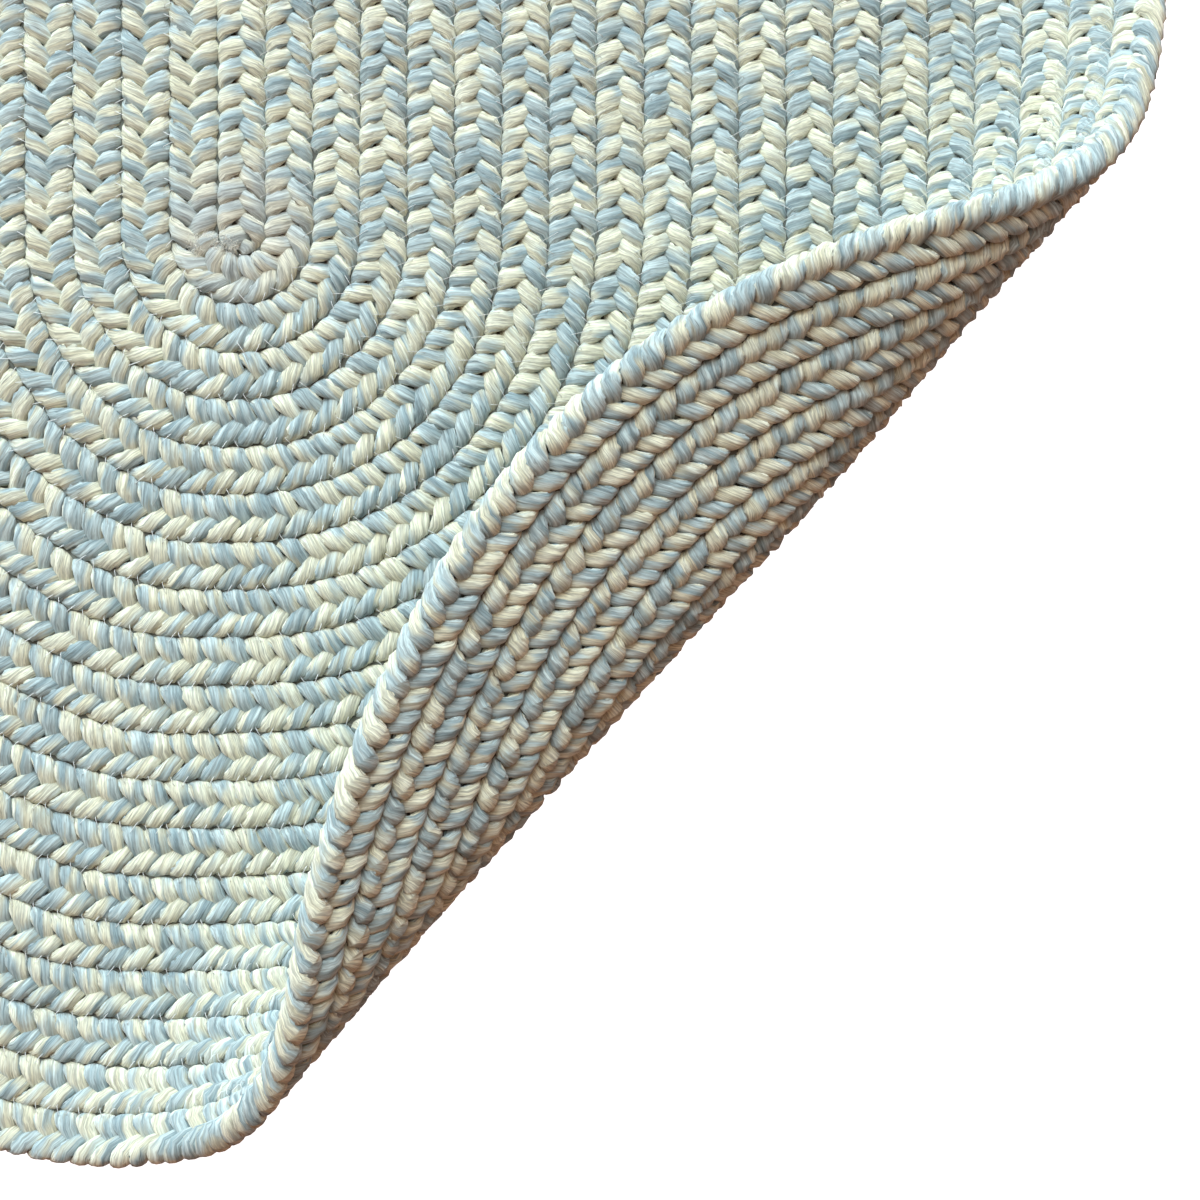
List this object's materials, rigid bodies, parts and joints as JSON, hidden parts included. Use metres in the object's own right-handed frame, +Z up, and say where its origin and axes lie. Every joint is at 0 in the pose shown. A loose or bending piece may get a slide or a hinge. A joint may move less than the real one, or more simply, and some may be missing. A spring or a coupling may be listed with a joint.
{
  "type": "braided rug with a folded corner",
  "caption": "Oval rug wound and sewn from one flat three-strand braid of blue and cream yarn, one corner curled back over it.",
  "frame": {"origin": "under the middle of the rug's box, on the floor that it lies on", "axes": "+Z up, +Y along the rug's length away from the curled corner, +X to the side of the curled corner"},
  "size_m": [0.6184, 0.9096, 0.1012],
  "materials": {
    "heather_yarn": "light blue and cream heathered yarn, matte"
  },
  "bodies": {
    "root": {"braided_rug": "heather_yarn"}
  },
  "joints": []
}
